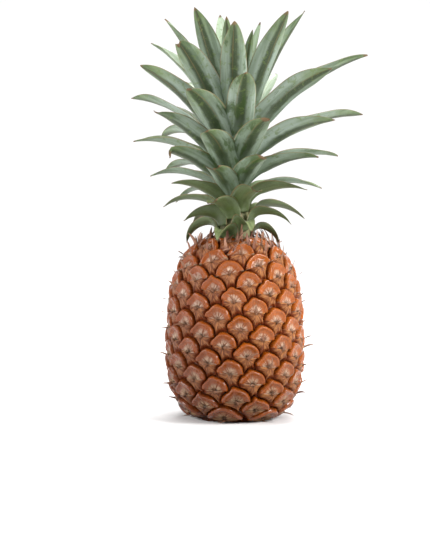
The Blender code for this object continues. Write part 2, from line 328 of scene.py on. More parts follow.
def leafWidths(shares, base, widest, endLook, low):
    # half widths along a leaf: rising from the stem, then tapering in a curve to the tip
    rise = np.sin(np.clip(shares / leafSettings["widestAt"], 0, 1) * math.pi / 2)
    wide = base + (widest - base) * rise
    part = np.clip((shares - leafSettings["widestAt"]) / (1 - leafSettings["widestAt"]), 0, 1)
    slim = widest <= leafSettings["slimBelow"]
    power = leafSettings["lowPower" if low else "slimPower" if slim else "broadPower"]
    taper = np.clip(1.0 - part ** power, 0.0, 1.0) ** leafSettings["tipRound"]
    wide = wide * np.where(shares > leafSettings["widestAt"], taper, 1.0)
    if endLook == "blunt":
        closing = np.sqrt(np.clip(1 - ((shares - 0.82) / 0.18).clip(0, 1) ** 2, 0, 1))
        wide = np.maximum(wide, widest * 0.55 * closing * (shares > 0.5))
    return np.maximum(wide, 0.00012)


def buildLeaf(name, material, rng, low):
    look = leafSettings
    spine, turn, half = leafSpine(name)
    if low:
        half *= look["lowWidth"]
    elif int(name[-2:]) >= look["broadFrom"]:
        half *= look["broadWidth"]
    endLook, endShare = leafEnds.get(name, ("point", look["dryShare"]))
    stations = look["stations"]
    ribs = look["ribs"]
    length = walkAlong(spine)[-1]
    dense = curveThrough(spine, np.linspace(0, len(spine) - 1, 160))
    walked = walkAlong(dense)
    shares = 1 - (1 - np.linspace(0, 1, stations)) ** 1.25
    cut = 1.0 - endShare if endLook == "torn" else 1.0
    shares = shares * cut
    places = shares * walked[-1]
    out = np.interp(places, walked, dense[:, 0])
    up = np.interp(places, walked, dense[:, 1])
    sway = look["sway"] * rng.uniform(-1, 1) * length / 0.1
    bow = rng.uniform(-0.5, 0.5)
    lateral = sway * (shares ** 2.2 + bow * np.sin(shares * math.pi) * 0.4)
    twist = look["twist"] * rng.uniform(-1, 1) * shares ** 1.6
    twist = twist + leafTurnedFace(turn) * smoothStep(0.05, 0.35, shares)
    if endLook == "hook":
        bend = smoothStep(1 - endShare * 1.6, 1.0, shares)
        up = up - bend * 0.006
        out = out - bend * 0.003
    if endLook == "curl":
        bend = smoothStep(1 - endShare * 1.5, 1.0, shares)
        lateral = lateral + bend * 0.003
    radial = np.array([math.sin(turn), -math.cos(turn), 0.0])
    sideways = np.array([math.cos(turn), math.sin(turn), 0.0])
    upward = np.array([0.0, 0.0, 1.0])
    centre = radial * out[:, None] + upward * up[:, None] + sideways * lateral[:, None]
    forward = np.gradient(centre, axis=0)
    forward /= np.linalg.norm(forward, axis=1)[:, None]
    across = sideways - forward * (forward @ sideways)[:, None]
    across /= np.linalg.norm(across, axis=1)[:, None]
    inward = np.cross(forward, across)
    turned = across * np.cos(twist)[:, None] + inward * np.sin(twist)[:, None]
    inward = inward * np.cos(twist)[:, None] - across * np.sin(twist)[:, None]
    across = turned
    reaches = leafWidths(shares, half * look["baseShare"], half, endLook, low) * look["reach"]
    edgeBend = look["gutterBend"] * rng.uniform(0.85, 1.1) * (1 - look["gutterFade"] * shares)
    clasp = np.clip(reaches / np.maximum(out * 1.02, 0.004), 0.0, 0.97)
    edgeBend = edgeBend + (np.arcsin(clasp) - edgeBend) * (1 - smoothStep(0.0, 0.22, shares))
    roll = reaches / np.sin(edgeBend)
    wide = roll * edgeBend
    thick = look["baseThickness"] + (look["tipThickness"] - look["baseThickness"]) * shares ** 0.7
    thick = np.minimum(thick, wide * 0.5)
    ripplePhase = rng.uniform(0, 6.28)
    side = np.linspace(-1, 1, ribs)
    points = []
    mapValues = []
    lookValues = []
    seed = rng.uniform(0, 10)
    dryFrom = 1.0 - endShare * (1.1 if endLook != "torn" else 0.0) - rng.uniform(0.0, 0.008)
    if endLook == "torn":
        dryFrom = cut - 0.015
    for layer in (0, 1):
        for k in range(stations):
            for position in side:
                margin = abs(position)
                bend = position * edgeBend[k]
                lift = roll[k] * (1 - math.cos(bend))
                reach = roll[k] * math.sin(bend)
                edge = math.sqrt(max(0.0, 1 - margin ** 6))
                keel = look["keelDepth"] * math.exp(-(position / 0.16) ** 2) * (1 - shares[k])
                wave = look["ripple"] * margin ** 2 * math.sin(
                    places[k] / 0.007 + ripplePhase + position * 1.3)
                if layer == 0:
                    depth = -0.5 * thick[k] * edge - keel
                else:
                    depth = 0.5 * thick[k] * edge - 0.6 * keel
                spot = centre[k] + across[k] * reach + inward[k] * (lift + depth + wave)
                if endLook == "torn" and k >= stations - 2:
                    ragged = math.sin(position * 9 + ripplePhase) + math.sin(position * 23.0)
                    spot = spot + forward[k] * 0.0011 * ragged * (k - stations + 2.5)
                points.append(spot)
                mapValues.append((places[k] * 100, position * wide[k] * 100, layer))
                lookValues.append((position, shares[k] / max(dryFrom, 0.01), seed))
    faces = []
    count = stations * ribs
    for k in range(stations - 1):
        for r in range(ribs - 1):
            a = k * ribs + r
            faces.append((a, a + 1, a + ribs + 1, a + ribs))
            b = a + count
            faces.append((b, b + ribs, b + ribs + 1, b + 1))
    for k in range(stations - 1):
        a = k * ribs
        faces.append((a, a + ribs, a + count + ribs, a + count))
        a = k * ribs + ribs - 1
        faces.append((a, a + count, a + count + ribs, a + ribs))
    for r in range(ribs - 1):
        faces.append((r, r + count, r + count + 1, r + 1))
        a = (stations - 1) * ribs + r
        faces.append((a, a + 1, a + count + 1, a + count))
    made = makeObject("leafBlade_" + name[-2:], points, faces, material)
    storeOn(made, "POINT", "leafMap", mapValues)
    storeOn(made, "POINT", "leafLook", lookValues)
    faceOutward(made)
    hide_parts(name)
    return made


def leafMaterial(name, colors):
    material, tree, shader = newMaterial(name)
    mapPlace = readMap(tree, "leafMap")
    look = readMap(tree, "leafLook")
    alongCm, acrossCm, layer = splitVector(tree, mapPlace)
    position, dryness, seed = splitVector(tree, look)
    place = joinVector(tree, alongCm, acrossCm, seed)
    streaks = useGroup(tree, fibreStreaks, {
        "Map": place, "Fineness": 11.0, "Stretch": 0.35, "Seed": 0.0})
    fine = streaks.outputs["Fine"]
    broad = streaks.outputs["Broad"]
    slow = joinVector(tree, times(tree, alongCm, 0.28), acrossCm, seed)
    rubbed = useGroup(tree, blotches, {
        "Place": slow, "Scale": 1.1, "Level": colors["rubLevel"], "Softness": 0.035})
    worn = useGroup(tree, blotches, {
        "Place": place, "Scale": 2.6, "Level": 0.60, "Softness": 0.03})
    margin = calc(tree, "ABSOLUTE", position)
    # outer face: green under a grey wax, thinner towards the tip, bare along a dark middle band;
    # the band is partly bare green and partly painted shade of the leaf's lengthwise fold
    ragged = calc(tree, "SUBTRACT", noise(tree, place, 1.6, 4.0), 0.5)
    waxFade = spread(tree, plus(tree, dryness, times(tree, ragged, 0.30)),
                     0.62, 1.0, 1.0, colors["tipWax"])
    waxShare = times(tree, waxFade, mixValue(tree, broad, 0.50, 1.0))
    waxShare = times(tree, waxShare, mixValue(tree, fine, 0.72, 1.0))
    bare = mixColor(tree, broad, colors["greenDark"], colors["green"])
    outer = mixColor(tree, waxShare, bare, colors["wax"])
    # painted shade: a darker band down the middle of the outer face, partly bare of wax and partly
    # the shade of the leaf's lengthwise fold
    bandEdge = plus(tree, margin, times(tree, ragged, 0.35))
    foldShadeBand = spread(tree, bandEdge, 0.16, 0.42, 1.0, 0.0)
    bandPlace = spread(tree, dryness, 0.15, 0.50)
    foldShadeBand = times(tree, times(tree, foldShadeBand, bandPlace), colors["bandStrength"])
    outer = mixColor(tree, foldShadeBand, outer, colors["foldShadeBand"])
    patch = times(tree, rubbed.outputs["Mask"], colors["rubStrength"])
    outer = mixColor(tree, patch, outer, colors["greenDark"])
    # inner face: paler and smoother; the paleness is partly its own colour and partly painted light
    # shining through the thin leaf
    inner = mixColor(tree, broad, colors["innerDark"], colors["inner"])
    blade = mixColor(tree, layer, outer, inner)
    scuff = times(tree, worn.outputs["Mask"], 0.55)
    blade = mixColor(tree, scuff, blade, colors["green"])
    blade = cover(tree, blade, fine, 0.16, colors["shade"])
    speckle = spread(tree, noise(tree, place, 26.0, 2.0), 0.60, 0.74)
    blade = cover(tree, blade, speckle, 0.16, colors["speckle"])
    # brown fold marks near the middle and reddish margins
    foldCentre = times(tree, calc(tree, "SUBTRACT", seed, 5.0), 0.07)
    foldPlace = calc(tree, "ABSOLUTE", calc(tree, "SUBTRACT", position, foldCentre))
    fold = spread(tree, plus(tree, foldPlace, times(tree, ragged, 0.05)),
                  0.012, 0.050, 1.0, 0.0)
    fold = times(tree, fold, spread(tree, dryness, 0.35, 0.9))
    blade = cover(tree, blade, fold, 0.55, colors["edge"])
    edge = spread(tree, plus(tree, margin, times(tree, fine, 0.03)),
                  0.945, 1.0)
    blade = cover(tree, blade, edge, 0.70, colors["edge"])
    dryValue = plus(tree, dryness, times(tree, ragged, 0.05))
    dry = spread(tree, dryValue, 0.980, 1.005)
    brown = mixColor(tree, fine, colors["dryDark"], colors["dryPale"])
    blade = mixColor(tree, dry, blade, brown)
    rough = mixValue(tree, dry, mixValue(tree, patch, 0.52, 0.34), 0.8)
    shader.inputs["Specular IOR Level"].default_value = 0.45
    finishShader(tree, shader, blade, rough, fine, 0.35, 0.0004)
    return material


upperColors = {
    "wax": (0.330, 0.400, 0.350), "green": (0.125, 0.185, 0.040),
    # the band colour is partly painted shade of the leaf's lengthwise fold
    "greenDark": (0.040, 0.078, 0.014), "foldShadeBand": (0.030, 0.048, 0.014), "bandStrength": 0.95,
    # the inner colours are made paler partly as painted light shining through the leaf
    "rubLevel": 0.60, "rubStrength": 0.8, "tipWax": 0.15, "inner": (0.430, 0.530, 0.390),
    "innerDark": (0.290, 0.390, 0.240), "edge": (0.200, 0.130, 0.040),
    "dryPale": (0.200, 0.130, 0.060), "dryDark": (0.070, 0.036, 0.014),
    "shade": (0.03, 0.05, 0.02), "speckle": (0.55, 0.60, 0.50),
}
middleColors = dict(upperColors, **{
    "wax": (0.235, 0.300, 0.235), "green": (0.085, 0.130, 0.030), "rubLevel": 0.56,
    "inner": (0.340, 0.420, 0.250), "innerDark": (0.210, 0.290, 0.130),
})
lowerColors = dict(upperColors, **{
    "wax": (0.110, 0.150, 0.060), "green": (0.075, 0.110, 0.022),
    "greenDark": (0.060, 0.080, 0.024), "foldShadeBand": (0.085, 0.090, 0.035), "bandStrength": 0.5,
    "rubLevel": 0.52, "rubStrength": 0.55, "tipWax": 0.35, "inner": (0.270, 0.330, 0.150),
    "innerDark": (0.170, 0.210, 0.085), "edge": (0.230, 0.130, 0.060),
})

upperLeaf = leafMaterial("upperLeafSkin", upperColors)
middleLeaf = leafMaterial("middleLeafSkin", middleColors)
lowerLeaf = leafMaterial("lowerLeafSkin", lowerColors)

leafRandom = random.Random(leafSettings["seed"])
leafNames = sorted(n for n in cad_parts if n.startswith("leaf_"))
for number, leafName in enumerate(leafNames):
    skin = (lowerLeaf if number < leafSettings["lowerSkins"] else
            middleLeaf if number < leafSettings["middleSkins"] else upperLeaf)
    narrow = number < leafSettings["narrowLeaves"] and leafName not in leafEnds
    blade = buildLeaf(leafName, skin, leafRandom, narrow)
    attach(blade, "root")
print("leaves made", len(leafNames))


fruitSettings = {
    "bulge": 0.0012,            # how far the solid's eyes stand out of the outline
    "eyeTurn": math.radians(-137.4),
    "eyeStart": math.radians(-72.0),
    "referenceHeight": 0.745,
    "eyeArea": 0.000318,
    "firstEye": -108,
    "lastEye": 44,
    "cornerMerge": 0.0045,
    "capPoints": 14,
    "baseCapArc": 0.0170,
    "baseClearArc": 0.0340,
    "topCapArc": 0.0080,
    "topClearArc": 0.0215,
    "grooveDepth": 0.0029,
    "relief": 1.0,              # height of the eyes, against the profiles below
    "arch": 0.0026,             # how far the upper rims bow up over the eyes above
    "edgePoints": 9,
    "seamRise": 0.0005,         # how far the bract's edge stands over the eye above it
    "seamDrop": 0.0004,
    "crease": 0.00035,
    "topRise": 0.0008,          # how far an eye may stand over the fruit's top
    "wander": 0.035,            # unevenness of the rims
    "seed": 5,
}
# outline from the flat spot up: share of the height, share of the radius
fruitOutline = (
    (0.000, 0.50), (0.020, 0.66), (0.060, 0.78), (0.120, 0.885), (0.200, 0.955), (0.290, 0.985),
    (0.400, 1.000), (0.520, 0.985), (0.640, 0.965), (0.720, 0.935), (0.800, 0.865), (0.860, 0.800),
    (0.910, 0.715), (0.950, 0.610), (0.980, 0.490), (0.995, 0.370), (1.000, 0.280),
)
# one eye from its groove (1) to its middle (0): share of the way, then its height in millimetres
# above the seam and below it
eyeProfile = (
    (1.000, -2.90, -2.90), (0.984, -2.00, -2.84), (0.966, -0.50, -2.70), (0.942, 0.90, -2.46),
    (0.912, 1.80, -2.10), (0.875, 2.30, -1.66), (0.835, 2.45, -1.20), (0.790, 2.20, -0.70),
    (0.735, 1.55, -0.22), (0.670, 0.85, 0.24), (0.590, 0.45, 0.62), (0.500, 0.36, 0.92),
    (0.400, 0.40, 1.12), (0.290, 0.24, 1.16), (0.180, -0.30, 1.00), (0.090, -0.95, 0.70),
)


class Outline:
    def __init__(self):
        shares = np.array(fruitOutline)
        fine = np.linspace(0, len(shares) - 1, 600)
        self.height = fruitBox[1].z - fruitBox[0].z
        self.radius = 0.5 * (fruitBox[1].x - fruitBox[0].x) - fruitSettings["bulge"] * 1.15
        heights = curveThrough(shares[:, 0], fine) * self.height
        radii = curveThrough(shares[:, 1], fine) * self.radius
        self.heights = np.concatenate([[0.0], heights, [self.height]])
        self.radii = np.concatenate([[0.0], radii, [0.0]])
        line = np.stack([self.radii, self.heights], axis=1)
        self.arcs = walkAlong(line)
        self.length = float(self.arcs[-1])
        ahead = np.gradient(line, axis=0)
        kernel = np.ones(25) / 25
        for column in (0, 1):
            ahead[:, column] = np.convolve(np.pad(ahead[:, column], 12, "edge"), kernel, "valid")
        self.ahead = ahead / np.linalg.norm(ahead, axis=1)[:, None]

    def point(self, arc, turn, out=0.0):
        radius = np.interp(arc, self.arcs, self.radii)
        height = np.interp(arc, self.arcs, self.heights)
        alongRadius = np.interp(arc, self.arcs, self.ahead[:, 0])
        alongHeight = np.interp(arc, self.arcs, self.ahead[:, 1])
        radius = radius + alongHeight * out
        height = height - alongRadius * out
        return np.stack([np.sin(turn) * radius, -np.cos(turn) * radius, height], axis=-1)

    def radiusAt(self, arc):
        return float(np.interp(arc, self.arcs, self.radii))

    def local(self, arc, turn, x, y, out):
        # a place x to the right and y up from another, following the skin
        level = arc + y
        return self.point(level, turn + x / max(self.radiusAt(level), 0.01), out)


outline = Outline()


def eyePlaces():
    start = float(np.interp(fruitSettings["referenceHeight"] * outline.height,
                            outline.heights, outline.arcs))
    places = {0: start}
    for direction, last in ((1, fruitSettings["lastEye"]), (-1, -fruitSettings["firstEye"])):
        arc = start
        for index in range(1, last + 1):
            radius = max(outline.radiusAt(arc), 0.3 * outline.radius)
            arc += direction * fruitSettings["eyeArea"] / (2 * math.pi * radius)
            places[direction * index] = arc
    low = fruitSettings["baseClearArc"]
    high = outline.length - fruitSettings["topClearArc"]
    chosen = []
    for index in sorted(places):
        if low < places[index] < high:
            turn = fruitSettings["eyeStart"] + fruitSettings["eyeTurn"] * index
            chosen.append((places[index], turn))
    return chosen


def onBall(arc, turn):
    tilt = math.pi * arc / outline.length
    return Vector((math.sin(turn) * math.sin(tilt), -math.cos(turn) * math.sin(tilt),
                   -math.cos(tilt)))


def offBall(direction):
    tilt = math.acos(max(-1.0, min(1.0, -direction.z)))
    return tilt * outline.length / math.pi, math.atan2(direction.x, -direction.y)


def findCells(places):
    # neighbouring eyes share corners, found from the triangles between their middles
    balls = [onBall(arc, turn) for arc, turn in places]
    shape = bmesh.new()
    layer = shape.verts.layers.int.new("place")
    for index, ball in enumerate(balls):
        vertex = shape.verts.new(ball)
        vertex[layer] = index
    hull = bmesh.ops.convex_hull(shape, input=shape.verts)
    triangles = [[v[layer] for v in piece.verts] for piece in hull["geom"]
                 if isinstance(piece, bmesh.types.BMFace)]
    shape.free()
    centres = []
    for a, b, c in triangles:
        normal = (balls[b] - balls[a]).cross(balls[c] - balls[a]).normalized()
        centres.append(normal if normal.dot(balls[a]) > 0 else -normal)
    spots = [Vector(outline.point(*offBall(c))) for c in centres]
    owner = list(range(len(centres)))
    for first in range(len(centres)):
        if owner[first] != first:
            continue
        for second in range(first + 1, len(centres)):
            close = (spots[first] - spots[second]).length < fruitSettings["cornerMerge"]
            if close and owner[second] == second:
                owner[second] = first
    corners = {}
    for group in sorted(set(owner)):
        total = Vector((0.0, 0.0, 0.0))
        for index, belongs in enumerate(owner):
            if belongs == group:
                total += centres[index]
        corners[group] = offBall(total.normalized())
    cells = []
    for index in range(len(places)):
        numbers = [n for n, triangle in enumerate(triangles) if index in triangle]
        pole = balls[index]
        side = pole.orthogonal().normalized()
        other = pole.cross(side)
        numbers.sort(key=lambda n: math.atan2(centres[n].dot(other), centres[n].dot(side)))
        loop = []
        for number in numbers:
            if not loop or owner[number] != loop[-1]:
                loop.append(owner[number])
        while len(loop) > 1 and loop[0] == loop[-1]:
            loop.pop()
        cells.append(loop)
    return corners, cells


def nearestTurn(turn, reference):
    return reference + (turn - reference + math.pi) % (2 * math.pi) - math.pi


class EyeEdges:
    # the curved groove lines between eyes, each made once and shared by both
    def __init__(self, corners, cells, places, eyeCount):
        self.corners = corners
        self.places = places
        self.eyeCount = eyeCount
        self.sides = {}
        for index, loop in enumerate(cells):
            for step, a in enumerate(loop):
                b = loop[(step + 1) % len(loop)]
                self.sides.setdefault((min(a, b), max(a, b)), []).append(index)
        self.made = {}
        self.points = []
        self.cornerPoint = {}

    def addPoint(self, arc, turn):
        self.points.append((arc, turn))
        return len(self.points) - 1

    def cornerNumber(self, group):
        if group not in self.cornerPoint:
            self.cornerPoint[group] = self.addPoint(*self.corners[group])
        return self.cornerPoint[group]

    def between(self, a, b):
        key = (min(a, b), max(a, b))
        if key not in self.made:
            arcA, turnA = self.corners[key[0]]
            arcB, turnB = self.corners[key[1]]
            turnB = nearestTurn(turnB, turnA)
            owners = self.sides[key]
            push = (0.0, 0.0)
            if len(owners) == 2 and max(owners) < self.eyeCount:
                lower, upper = sorted(owners, key=lambda n: self.places[n][0])
                arcGap = self.places[upper][0] - self.places[lower][0]
                turnGap = nearestTurn(self.places[upper][1], self.places[lower][1])
                turnGap -= self.places[lower][1]
                radius = outline.radiusAt(0.5 * (arcA + arcB))
                size = math.hypot(arcGap, turnGap * radius)
                strength = fruitSettings["arch"] * min(1.0, arcGap / (0.45 * size))
                push = (strength * arcGap / size, strength * turnGap / size)
            inner = []
            count = fruitSettings["edgePoints"]
            for step in range(1, count):
                part = step / count
                bow = math.sin(math.pi * part)
                arc = arcA + (arcB - arcA) * part + push[0] * bow
                turn = turnA + (turnB - turnA) * part + push[1] * bow
                inner.append(self.addPoint(arc, turn))
            self.made[key] = inner
        inner = self.made[key]
        return inner if a == key[0] else inner[::-1]


class RindMesh:
    def __init__(self):
        self.points = []
        self.faces = []
        self.maps = []
        self.looks = []

    def add(self, spot):
        self.points.append(spot)
        return len(self.points) - 1

    def face(self, numbers, maps, look):
        self.faces.append(tuple(numbers))
        for index in range(len(numbers)):
            self.maps.append(maps[index])
            self.looks.append(look[index] if isinstance(look, list) else look)


def waves(rng, count):
    # the parts of an uneven wave: phase and size
    return [(rng.uniform(0, 2 * math.pi), rng.uniform(0.4, 1.0) / (k + 1)) for k in range(count)]


def waveAt(parts, angle):
    return sum(size * math.sin((k + 1) * angle + phase) for k, (phase, size) in enumerate(parts))


def buildEye(mesh, edges, loop, arc, turn, rng):
    look = fruitSettings
    local = []
    for number in loop:
        pointArc, pointTurn = edges.points[number]
        gap = nearestTurn(pointTurn, turn) - turn
        local.append((gap * outline.radiusAt(pointArc), pointArc - arc))
    local = np.array(local)
    count = len(loop)
    left = int(np.argmin(local[:, 0]))
    right = int(np.argmax(local[:, 0]))
    heightShare = arc / outline.length
    centre = np.array([0.3 * (local[left, 0] + local[right, 0]),
                       0.5 * (local[left, 1] + local[right, 1]) * 0.6 - 0.0003])
    offset = local - centre
    reach = np.hypot(offset[:, 0], offset[:, 1])
    angle = np.arctan2(offset[:, 1], offset[:, 0])
    mean = reach.mean()
    seed = rng.random()
    height = rng.uniform(0.85, 1.15) * look["relief"] * millimetre
    tilt = rng.uniform(-0.25, 0.25)
    wander = waves(rng, 5)
    lumps = waves(rng, 7)
    creases = (rng.uniform(0.9, 1.25), rng.uniform(1.9, 2.25))
    upper = [(right + step) % count for step in range((left - right) % count + 1)]
    lower = [(left + step) % count for step in range((right - left) % count + 1)]
    rows = []
    for zone, order in ((1.0, upper), (0.0, lower)):
        rings = [[loop[k] for k in order]]
        data = [[(offset[k, 0] * 100, offset[k, 1] * 100, 1.0) for k in order]]
        for f, high, low in eyeProfile[1:]:
            numbers = []
            values = []
            blend = (1 - f) ** 0.7
            edgeFade = min(1.0, (1 - f) / 0.16)
            for k in order:
                distance = reach[k] * (1 - 0.6 * blend) + mean * 0.6 * blend
                distance *= 1 + look["wander"] * waveAt(wander, angle[k] * 2) * edgeFade * f
                x = centre[0] + math.cos(angle[k]) * distance * f
                y = centre[1] + math.sin(angle[k]) * distance * f
                lift = high if zone else low
                climb = max(math.sin(angle[k]), 0.0)
                if zone:
                    side = 0.55 + 0.45 * min(1.0, climb * 2.2)
                    lift = lift * side if lift > 0 else lift
                    lift += tilt * math.cos(angle[k]) * edgeFade
                    lump = 0.12 * waveAt(lumps, angle[k] * 3) * math.sin(math.pi * f)
                    lift += lump * edgeFade
                    for place in creases:
                        gap = (angle[k] - place) / 0.16
                        lift -= look["crease"] * 1000 * math.exp(-gap * gap) * math.sin(
                            math.pi * min(1.0, f * 1.25)) if f < 0.8 else 0.0
                    lift -= look["seamDrop"] * 1000 * math.exp(-climb * reach[k] * f / 0.0008) * (
                        edgeFade)
                else:
                    down = -math.sin(angle[k]) * reach[k] * f
                    lift += look["seamRise"] * 1000 * math.exp(-max(down, 0.0) / 0.0022) * edgeFade
                    lift += 0.10 * waveAt(lumps, angle[k] * 4) * math.sin(math.pi * f) * edgeFade
                spot = outline.local(arc, turn, x, y, lift * height)
                spot[2] = min(max(spot[2], floorClearance), outline.height + look["topRise"])
                numbers.append(mesh.add(spot))
                values.append(((x - centre[0]) * 100, (y - centre[1]) * 100, f))
            rings.append(numbers)
            data.append(values)
        hub = mesh.add(outline.local(arc, turn, centre[0], centre[1],
                                     (-0.9 if zone else 0.35) * height))
        lookHere = (seed, zone, heightShare)
        for level in range(len(rings) - 1):
            for k in range(len(order) - 1):
                mesh.face((rings[level][k], rings[level][k + 1], rings[level + 1][k + 1],
                           rings[level + 1][k]),
                          (data[level][k], data[level][k + 1], data[level + 1][k + 1],
                           data[level + 1][k]), lookHere)
        for k in range(len(order) - 1):
            mesh.face((rings[-1][k], rings[-1][k + 1], hub),
                      (data[-1][k], data[-1][k + 1], (0.0, 0.0, 0.0)), lookHere)
        rows.append((rings, data, hub))
    # the small upright edge of the bract along the seam
    for upperColumn, lowerColumn in ((0, -1), (-1, 0)):
        upperLine = [ring[upperColumn] for ring in rows[0][0]] + [rows[0][2]]
        lowerLine = [ring[lowerColumn] for ring in rows[1][0]] + [rows[1][2]]
        mapLine = [values[upperColumn] for values in rows[0][1]] + [(0.0, 0.0, 0.0)]
        for level in range(len(upperLine) - 1):
            numbers = [upperLine[level], upperLine[level + 1], lowerLine[level + 1],
                       lowerLine[level]]
            maps = [mapLine[level], mapLine[level + 1], mapLine[level + 1], mapLine[level]]
            if numbers[0] == numbers[3]:
                numbers = numbers[:3]
                maps = maps[:3]
            mesh.face(numbers, maps, (seed, 0.5, heightShare))
    return arc, turn, centre


def buildRind(material):
    look = fruitSettings
    rng = random.Random(look["seed"])
    eyes = eyePlaces()
    ring = [2 * math.pi * k / look["capPoints"] for k in range(look["capPoints"])]
    baseRing = [(look["baseCapArc"], turn) for turn in ring] + [(0.0, 0.0)]
    topRing = [(outline.length - look["topCapArc"], turn) for turn in ring]
    topRing.append((outline.length, 0.0))
    places = eyes + baseRing + topRing
    corners, cells = findCells(places)
    edges = EyeEdges(corners, cells, places, len(eyes))
    capGroups = {"base": set(), "top": set()}
    for index in range(len(eyes), len(places)):
        where = "base" if index < len(eyes) + len(baseRing) else "top"
        capGroups[where].update(cells[index])
    loops = []
    for index in range(len(eyes)):
        loop = []
        for step, a in enumerate(cells[index]):
            b = cells[index][(step + 1) % len(cells[index])]
            loop.append(edges.cornerNumber(a))
            loop += edges.between(a, b)
        loops.append(loop)
    capSpots = {}
    for where, groups in capGroups.items():
        for group in groups:
            if group in edges.cornerPoint:
                capSpots[edges.cornerPoint[group]] = where
        for (a, b), inner in edges.made.items():
            if a in groups and b in groups:
                for number in inner:
                    capSpots[number] = where
    mesh = RindMesh()
    for number, (arc, turn) in enumerate(edges.points):
        where = capSpots.get(number)
        spot = outline.point(arc, turn, 0.0 if where else -look["grooveDepth"])
        if where == "base":
            spot[2] = 0.0
        if where == "top":
            spot[2] = outline.height
        mesh.add(spot)
    eyeMiddles = []
    for index, (arc, turn) in enumerate(eyes):
        eyeMiddles.append(buildEye(mesh, edges, loops[index], arc, turn, rng))

    def capLoop(groups):
        chosen = [n for n, where in capSpots.items() if where == groups]
        return sorted(chosen, key=lambda n: math.atan2(mesh.points[n][0], -mesh.points[n][1]))

    flatMap = [(0.0, -0.9, 1.0)] * 4
    baseLook = (0.5, 0.0, 0.0)
    topLook = (0.5, 0.0, 1.0)
    baseLoop = capLoop("base")
    recess = 0.5 * (stalkBox[1].x - stalkBox[0].x) + 0.0002
    depth = stalkBox[1].z - stalkBox[0].z
    previous = baseLoop
    for share, height in ((0.66, 0.0), (0.33, 0.0), (0.0, 0.0), (-1.0, depth)):
        numbers = []
        for number in baseLoop:
            spot = mesh.points[number]
            turn = math.atan2(spot[0], -spot[1])
            wide = math.hypot(spot[0], spot[1])
            across = recess + (wide - recess) * max(share, 0.0)
            numbers.append(mesh.add(np.array([
                math.sin(turn) * across, -math.cos(turn) * across, height])))
        for k in range(len(baseLoop)):
            after = (k + 1) % len(baseLoop)
            mesh.face((previous[k], numbers[k], numbers[after], previous[after]), flatMap,
                      baseLook)
        previous = numbers
    mesh.face(previous, [flatMap[0]] * len(previous), baseLook)
    topLoop = capLoop("top")
    inside = []
    for number in topLoop:
        spot = mesh.points[number]
        inside.append(mesh.add(np.array([spot[0] * 0.5, spot[1] * 0.5, spot[2] - 0.0002])))
    for k in range(len(topLoop)):
        after = (k + 1) % len(topLoop)
        mesh.face((topLoop[k], topLoop[after], inside[after], inside[k]), flatMap, topLook)
    mesh.face(inside, [flatMap[0]] * len(inside), topLook)
    made = makeObject("fruitRind", mesh.points, mesh.faces, material)
    storeOn(made, "CORNER", "eyeMap", mesh.maps)
    storeOn(made, "CORNER", "eyeLook", mesh.looks)
    faceOutward(made)
    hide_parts("fruit_body")
    return made, eyeMiddles


rindColors = {
    # a pair runs from the cool side of the fruit to its warm side, if nothing else is said; the
    # warm side is partly riper colour and partly painted light, brighter as if lit from the right
    "under": ((0.150, 0.034, 0.005), (0.260, 0.055, 0.005)),
    "wax": ((0.285, 0.150, 0.108), (0.440, 0.195, 0.090)),
    "rim": ((0.240, 0.046, 0.003), (0.430, 0.100, 0.004)),
    "bractDark": ((0.085, 0.018, 0.006), (0.140, 0.028, 0.005)),
    "bractPale": ((0.350, 0.140, 0.058), (0.500, 0.205, 0.060)),
    # colour of the pale streaks, partly painted highlight
    "paleStreakHighlight": (0.800, 0.620, 0.480),
    "rimDark": (0.250, 0.060, 0.004),
    "bractEdge": (0.200, 0.032, 0.006),
    "seam": ((0.200, 0.090, 0.045), (0.480, 0.320, 0.200)),     # by the fine mottling
    "pit": (0.070, 0.028, 0.012),
    # grooves: painted shade between the eyes, olive near the crown
    "grooveShade": ((0.090, 0.018, 0.004), (0.050, 0.040, 0.008)),   # elsewhere, then near the crown
    "stain": (0.180, 0.060, 0.020),
    # colour multiplied in as painted shade low down and towards the left
    "lowShadeTint": (0.52, 0.46, 0.34),
    "roughness": (0.36, 0.20),      # plain skin, then the rims
    "coat": (0.04, 0.50),           # the same
}


